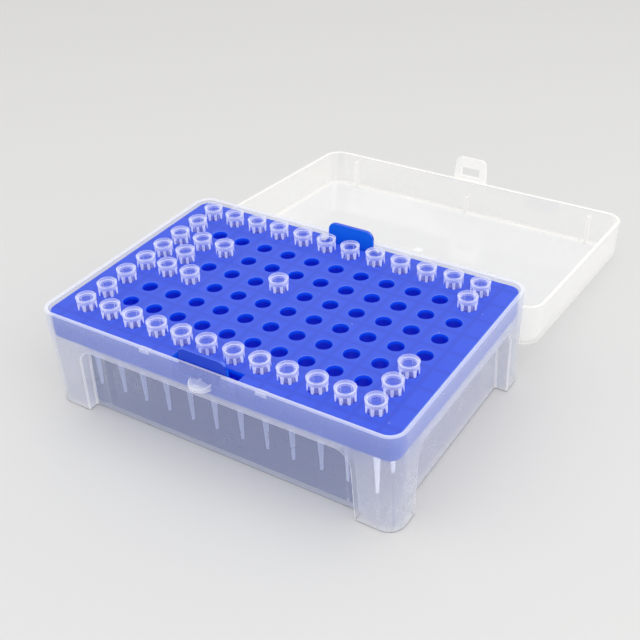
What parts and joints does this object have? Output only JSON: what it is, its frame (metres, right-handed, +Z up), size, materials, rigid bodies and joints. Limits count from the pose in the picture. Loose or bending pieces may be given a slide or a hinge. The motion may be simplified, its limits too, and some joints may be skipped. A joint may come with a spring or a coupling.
{
  "type": "pipette tip box",
  "caption": "Hinged clear plastic box with a blue perforated tray, part filled with ribbed pipette tips, its lid laid open.",
  "frame": {"origin": "centre of the base's footprint, on the surface it stands on", "axes": "+X along a row of the tray's holes, +Y towards the hinge, +Z up"},
  "size_m": [0.1252, 0.1769, 0.0378],
  "materials": {
    "clear_base": "translucent natural polypropylene, smooth",
    "clear_lid": "clear natural polypropylene, smooth",
    "blue_tray": "blue polypropylene, fine satin",
    "clear_tip": "clear natural polypropylene, glossy"
  },
  "bodies": {
    "box": {"base": "clear_base", "tray": "blue_tray", "tip_A1": "clear_tip", "tip_A2": "clear_tip", "tip_A3": "clear_tip", "tip_A4": "clear_tip", "tip_A5": "clear_tip", "tip_A6": "clear_tip", "tip_A7": "clear_tip", "tip_A8": "clear_tip", "tip_A9": "clear_tip", "tip_A10": "clear_tip", "tip_A11": "clear_tip", "tip_A12": "clear_tip", "tip_B1": "clear_tip", "tip_B12": "clear_tip", "tip_C1": "clear_tip", "tip_C2": "clear_tip", "tip_C3": "clear_tip", "tip_D1": "clear_tip", "tip_D2": "clear_tip", "tip_D6": "clear_tip", "tip_E1": "clear_tip", "tip_E2": "clear_tip", "tip_E3": "clear_tip", "tip_F1": "clear_tip", "tip_F12": "clear_tip", "tip_G1": "clear_tip", "tip_G12": "clear_tip", "tip_H1": "clear_tip", "tip_H2": "clear_tip", "tip_H3": "clear_tip", "tip_H4": "clear_tip", "tip_H5": "clear_tip", "tip_H6": "clear_tip", "tip_H7": "clear_tip", "tip_H8": "clear_tip", "tip_H9": "clear_tip", "tip_H10": "clear_tip", "tip_H11": "clear_tip", "tip_H12": "clear_tip"},
    "cover": {"lid": "clear_lid"}
  },
  "joints": [
    {"name": "lid_hinge", "type": "hinge", "parent": "box", "child": "cover", "pos_m": [0, 0.0442, 0.0268], "axis": [1, 0, 0], "range_deg": [0, 185.2]}
  ]
}
